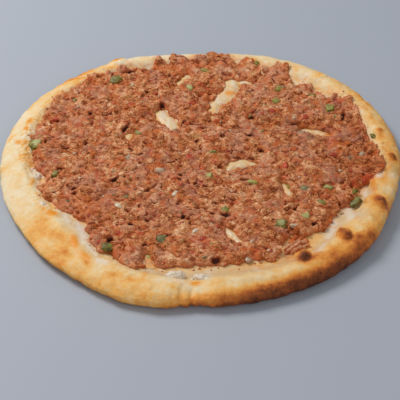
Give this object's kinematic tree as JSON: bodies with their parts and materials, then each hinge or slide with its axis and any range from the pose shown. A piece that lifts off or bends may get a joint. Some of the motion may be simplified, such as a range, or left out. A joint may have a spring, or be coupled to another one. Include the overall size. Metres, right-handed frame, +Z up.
{
  "type": "manakish",
  "caption": "Hand-stretched round flat bread with a browned, blistered rim, baked under a layer of spiced minced meat with chopped green pepper and onion.",
  "frame": {"origin": "middle of the bread's underside, on the surface it lies on", "axes": "+Z up through the topping, -Y towards the near edge with the pinched fold, +X to the right seen from there"},
  "size_m": [0.2824, 0.279, 0.0175],
  "materials": {
    "crust": "baked dough, pale with browned blisters",
    "meat": "crumbly, moist with oil",
    "pepper": "soft sheen, cooked",
    "onion": "soft sheen, translucent"
  },
  "bodies": {
    "root": {"bread": "crust", "minced_meat": "meat", "meat_lump": "meat", "pepper_left": "pepper", "pepper_back": "pepper", "pepper_front": "pepper", "pepper_right": "pepper", "pepper_near": "pepper", "pepper_far": "pepper", "onion_front": "onion", "onion_valley": "onion", "onion_left": "onion"}
  },
  "joints": []
}
